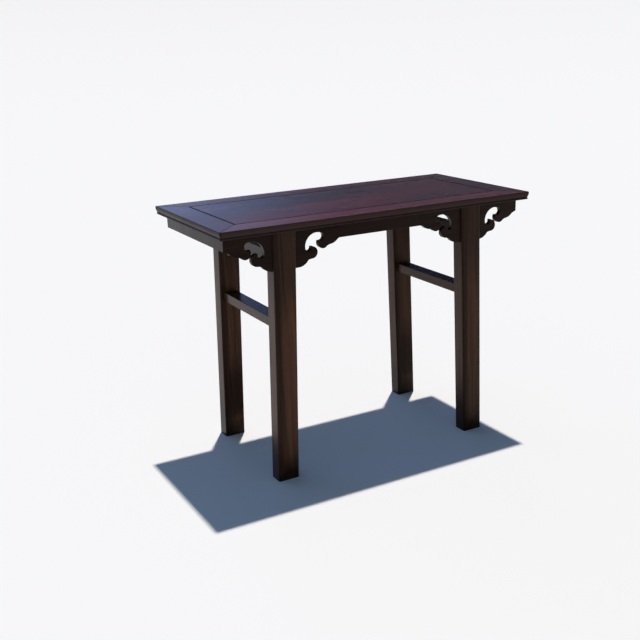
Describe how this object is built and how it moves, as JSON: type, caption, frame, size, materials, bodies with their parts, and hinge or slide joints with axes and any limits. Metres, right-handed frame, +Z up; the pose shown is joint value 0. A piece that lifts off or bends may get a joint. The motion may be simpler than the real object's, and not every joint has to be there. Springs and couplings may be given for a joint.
{
  "type": "console table",
  "caption": "Recessed-leg console table of dark lacquered wood with a framed panel top, splayed legs, openwork cloud spandrels and end stretchers.",
  "frame": {"origin": "on the floor under the middle of the table", "axes": "+X along the table's length, +Y to its back, +Z up"},
  "size_m": [1.17, 0.554, 0.863],
  "materials": {
    "frame_wood": "dark red-brown satin lacquer",
    "panel_wood": "dark red-brown satin lacquer",
    "leg_wood": "dark brown satin lacquer",
    "apron_wood": "dark brown satin lacquer",
    "stretcher_wood": "dark brown satin lacquer",
    "secondary_wood": "thin dark stain"
  },
  "bodies": {
    "root": {"top_panel": "panel_wood", "top_rail_front": "frame_wood", "top_rail_back": "frame_wood", "top_rail_left": "frame_wood", "top_rail_right": "frame_wood", "panel_batten_left": "secondary_wood", "panel_batten_centre": "secondary_wood", "panel_batten_right": "secondary_wood", "leg_front_left": "leg_wood", "leg_front_right": "leg_wood", "leg_back_left": "leg_wood", "leg_back_right": "leg_wood", "apron_front": "apron_wood", "apron_back": "apron_wood", "spandrel_front_left_inner": "apron_wood", "spandrel_front_left_outer": "apron_wood", "spandrel_front_right_inner": "apron_wood", "spandrel_front_right_outer": "apron_wood", "spandrel_back_left_inner": "apron_wood", "spandrel_back_left_outer": "apron_wood", "spandrel_back_right_inner": "apron_wood", "spandrel_back_right_outer": "apron_wood", "end_apron_left": "apron_wood", "end_apron_right": "apron_wood", "stretcher_left": "stretcher_wood", "stretcher_right": "stretcher_wood", "cross_rail_left": "stretcher_wood", "cross_rail_right": "stretcher_wood"}
  },
  "joints": []
}
